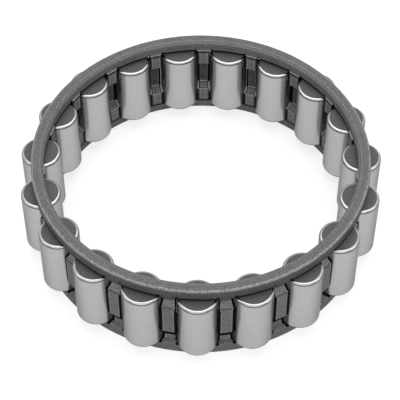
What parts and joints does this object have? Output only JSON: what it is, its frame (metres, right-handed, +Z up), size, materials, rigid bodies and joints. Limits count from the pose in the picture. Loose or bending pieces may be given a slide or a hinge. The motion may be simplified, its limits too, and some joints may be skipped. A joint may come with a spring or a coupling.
{
  "type": "roller bearing",
  "caption": "Caged cylindrical roller bearing without rings: a one-piece ring cage with bent bars holds evenly spaced ground rollers in its windows.",
  "frame": {"origin": "centre of the cage's lower face, on the bearing's axis", "axes": "+Z up along the bearing's axis; -Y towards the first roller; +X to the right of it"},
  "size_m": [0.1072, 0.1069, 0.03],
  "materials": {
    "cage_steel": "matt dark grey phosphate coating on machined steel",
    "roller_steel": "fine ground bearing steel, with duller end faces"
  },
  "bodies": {
    "cage": {"cage": "cage_steel"},
    "roller_01": {"roller_01": "roller_steel"},
    "roller_02": {"roller_02": "roller_steel"},
    "roller_03": {"roller_03": "roller_steel"},
    "roller_04": {"roller_04": "roller_steel"},
    "roller_05": {"roller_05": "roller_steel"},
    "roller_06": {"roller_06": "roller_steel"},
    "roller_07": {"roller_07": "roller_steel"},
    "roller_08": {"roller_08": "roller_steel"},
    "roller_09": {"roller_09": "roller_steel"},
    "roller_10": {"roller_10": "roller_steel"},
    "roller_11": {"roller_11": "roller_steel"},
    "roller_12": {"roller_12": "roller_steel"},
    "roller_13": {"roller_13": "roller_steel"},
    "roller_14": {"roller_14": "roller_steel"},
    "roller_15": {"roller_15": "roller_steel"},
    "roller_16": {"roller_16": "roller_steel"},
    "roller_17": {"roller_17": "roller_steel"},
    "roller_18": {"roller_18": "roller_steel"},
    "roller_19": {"roller_19": "roller_steel"}
  },
  "joints": [
    {"name": "roller_01_spin", "type": "hinge", "parent": "cage", "child": "roller_01", "pos_m": [0, -0.0479, 0.01475], "axis": [0, 0, 1], "continuous": true},
    {"name": "roller_02_spin", "type": "hinge", "parent": "cage", "child": "roller_02", "pos_m": [0.01555, -0.0453, 0.01475], "axis": [0, 0, 1], "continuous": true},
    {"name": "roller_03_spin", "type": "hinge", "parent": "cage", "child": "roller_03", "pos_m": [0.02942, -0.0378, 0.01475], "axis": [0, 0, 1], "continuous": true},
    {"name": "roller_04_spin", "type": "hinge", "parent": "cage", "child": "roller_04", "pos_m": [0.0401, -0.0262, 0.01475], "axis": [0, 0, 1], "continuous": true},
    {"name": "roller_05_spin", "type": "hinge", "parent": "cage", "child": "roller_05", "pos_m": [0.04643, -0.01176, 0.01475], "axis": [0, 0, 1], "continuous": true},
    {"name": "roller_06_spin", "type": "hinge", "parent": "cage", "child": "roller_06", "pos_m": [0.04774, 0.00396, 0.01475], "axis": [0, 0, 1], "continuous": true},
    {"name": "roller_07_spin", "type": "hinge", "parent": "cage", "child": "roller_07", "pos_m": [0.04387, 0.01924, 0.01475], "axis": [0, 0, 1], "continuous": true},
    {"name": "roller_08_spin", "type": "hinge", "parent": "cage", "child": "roller_08", "pos_m": [0.03524, 0.03244, 0.01475], "axis": [0, 0, 1], "continuous": true},
    {"name": "roller_09_spin", "type": "hinge", "parent": "cage", "child": "roller_09", "pos_m": [0.0228, 0.04213, 0.01475], "axis": [0, 0, 1], "continuous": true},
    {"name": "roller_10_spin", "type": "hinge", "parent": "cage", "child": "roller_10", "pos_m": [0.00788, 0.04725, 0.01475], "axis": [0, 0, 1], "continuous": true},
    {"name": "roller_11_spin", "type": "hinge", "parent": "cage", "child": "roller_11", "pos_m": [-0.00788, 0.04725, 0.01475], "axis": [0, 0, 1], "continuous": true},
    {"name": "roller_12_spin", "type": "hinge", "parent": "cage", "child": "roller_12", "pos_m": [-0.0228, 0.04213, 0.01475], "axis": [0, 0, 1], "continuous": true},
    {"name": "roller_13_spin", "type": "hinge", "parent": "cage", "child": "roller_13", "pos_m": [-0.03524, 0.03244, 0.01475], "axis": [0, 0, 1], "continuous": true},
    {"name": "roller_14_spin", "type": "hinge", "parent": "cage", "child": "roller_14", "pos_m": [-0.04387, 0.01924, 0.01475], "axis": [0, 0, 1], "continuous": true},
    {"name": "roller_15_spin", "type": "hinge", "parent": "cage", "child": "roller_15", "pos_m": [-0.04774, 0.00396, 0.01475], "axis": [0, 0, 1], "continuous": true},
    {"name": "roller_16_spin", "type": "hinge", "parent": "cage", "child": "roller_16", "pos_m": [-0.04643, -0.01176, 0.01475], "axis": [0, 0, 1], "continuous": true},
    {"name": "roller_17_spin", "type": "hinge", "parent": "cage", "child": "roller_17", "pos_m": [-0.0401, -0.0262, 0.01475], "axis": [0, 0, 1], "continuous": true},
    {"name": "roller_18_spin", "type": "hinge", "parent": "cage", "child": "roller_18", "pos_m": [-0.02942, -0.0378, 0.01475], "axis": [0, 0, 1], "continuous": true},
    {"name": "roller_19_spin", "type": "hinge", "parent": "cage", "child": "roller_19", "pos_m": [-0.01555, -0.0453, 0.01475], "axis": [0, 0, 1], "continuous": true}
  ]
}
